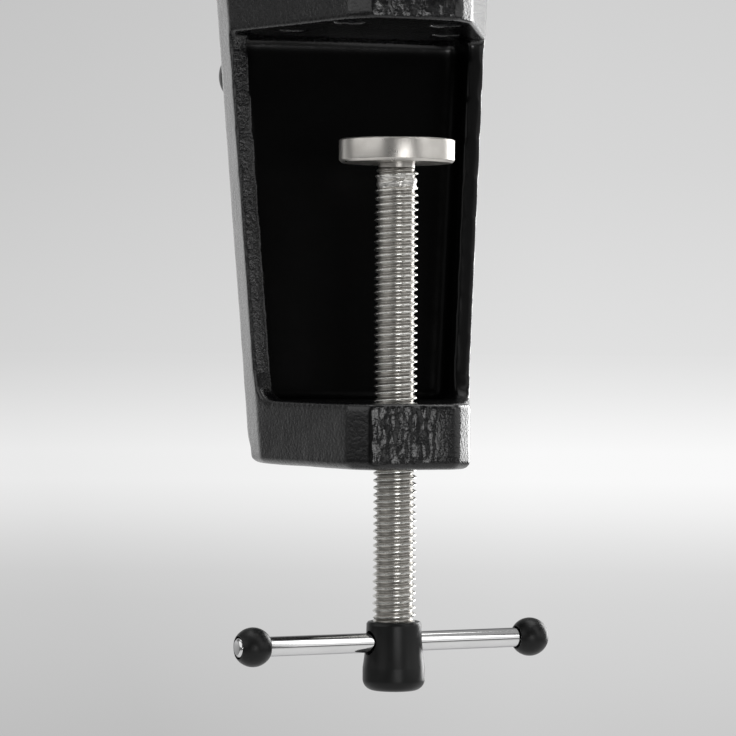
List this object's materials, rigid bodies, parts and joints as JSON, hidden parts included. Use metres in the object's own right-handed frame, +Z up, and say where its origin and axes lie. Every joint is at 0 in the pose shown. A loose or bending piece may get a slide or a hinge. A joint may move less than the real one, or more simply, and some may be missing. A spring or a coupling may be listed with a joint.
{
  "type": "ball joint vise",
  "caption": "Clamp-on bench vise with a cast C clamp under the table edge, a lever-locked ball joint and a small jaw head that tilts and turns.",
  "frame": {"origin": "on the clamp screw's axis, in the face of the upper jaw that rests on the table", "axes": "+Z up along the clamp screw, +Y from the screw to the spine and the user, +X to the right of somebody who looks along +Y"},
  "size_m": [0.0758, 0.1297, 0.268],
  "materials": {
    "cast_enamel": "black grained enamel on cast iron",
    "zinc_steel": "bright zinc-plated rolled thread",
    "turned_steel": "fine turned and ground steel",
    "chrome_bar": "polished chrome plate",
    "black_plastic": "satin black moulded plastic",
    "dark_steel": "black-oxide steel",
    "brass_nut": "machined brass",
    "nylon": "natural white nylon"
  },
  "bodies": {
    "clamp": {"clamp_frame": "cast_enamel", "socket_body": "cast_enamel", "socket_screw_1": "dark_steel", "socket_screw_2": "dark_steel", "socket_screw_3": "dark_steel", "socket_screw_4": "dark_steel", "lock_nut": "zinc_steel", "lock_washer": "zinc_steel"},
    "lock": {"lock_screw": "zinc_steel", "lock_lever": "chrome_bar", "lock_lever_knob": "black_plastic"},
    "seat": {"ball_seat": "nylon"},
    "ball_body": {"ball": "chrome_bar"},
    "vise": {"ball_stem": "turned_steel", "stem_set_screw": "dark_steel", "vise_body": "cast_enamel", "fixed_jaw_plate": "turned_steel", "jaw_plate_screw_1": "dark_steel", "jaw_plate_screw_2": "dark_steel", "lead_nut": "brass_nut", "lead_nut_screw": "dark_steel", "lead_nut_washer": "zinc_steel"},
    "jaw": {"movable_jaw": "cast_enamel", "movable_jaw_plate": "turned_steel", "jaw_plate_screw_3": "dark_steel", "jaw_plate_screw_4": "dark_steel", "thrust_washer": "zinc_steel"},
    "lead": {"lead_screw": "zinc_steel", "lead_screw_collar": "zinc_steel", "collar_pin": "dark_steel", "vise_screw_sleeve": "black_plastic"},
    "vise_bar": {"vise_tommy_bar": "chrome_bar", "vise_bar_ball_left": "black_plastic", "vise_bar_ball_right": "black_plastic"},
    "pad": {"clamp_pad": "turned_steel", "pad_snap_ring": "dark_steel"},
    "screw": {"clamp_screw": "zinc_steel", "clamp_screw_sleeve": "black_plastic"},
    "clamp_bar": {"clamp_tommy_bar": "chrome_bar", "clamp_bar_ball_left": "black_plastic", "clamp_bar_ball_right": "black_plastic"}
  },
  "joints": [
    {"name": "lock_turn", "type": "hinge", "parent": "clamp", "child": "lock", "pos_m": [0, 0.044, 0.031], "axis": [1, 0, 0], "range_deg": [-15, 30]},
    {"name": "swivel", "type": "hinge", "parent": "clamp", "child": "seat", "pos_m": [0, 0.015, 0.036], "axis": [0, 0, 1], "continuous": true},
    {"name": "tilt", "type": "hinge", "parent": "seat", "child": "ball_body", "pos_m": [0, 0.015, 0.036], "axis": [1, 0, 0], "range_deg": [-40, 40]},
    {"name": "turn", "type": "hinge", "parent": "ball_body", "child": "vise", "pos_m": [0, 0.015, 0.036], "axis": [0, 0, 1], "continuous": true},
    {"name": "jaw_slide", "type": "slide", "parent": "vise", "child": "jaw", "axis": [0, 1, 0], "range_m": [-0.0137, 0.038]},
    {"name": "lead_turn", "type": "hinge", "parent": "jaw", "child": "lead", "pos_m": [0, 0.07, 0.082], "axis": [0, 1, 0], "range_deg": [-2470, 6845]},
    {"name": "vise_bar_slide", "type": "slide", "parent": "lead", "child": "vise_bar", "axis": [1, 0, 0], "range_m": [-0.022, 0.022]},
    {"name": "clamp_travel", "type": "slide", "parent": "clamp", "child": "pad", "axis": [0, 0, 1], "range_m": [-0.05, 0.0245]},
    {"name": "clamp_turn", "type": "hinge", "parent": "pad", "child": "screw", "pos_m": [0, 0, -0.09], "axis": [0, 0, 1], "range_deg": [-11345, 5560]},
    {"name": "clamp_bar_slide", "type": "slide", "parent": "screw", "child": "clamp_bar", "axis": [0.9848, 0.1736, 0], "range_m": [-0.022, 0.022]}
  ],
  "couplings": [
    {"joint": "lead_turn", "follows": "jaw_slide", "rad_per_m": 3141.6},
    {"joint": "clamp_turn", "follows": "clamp_travel", "rad_per_m": 3957.9}
  ]
}
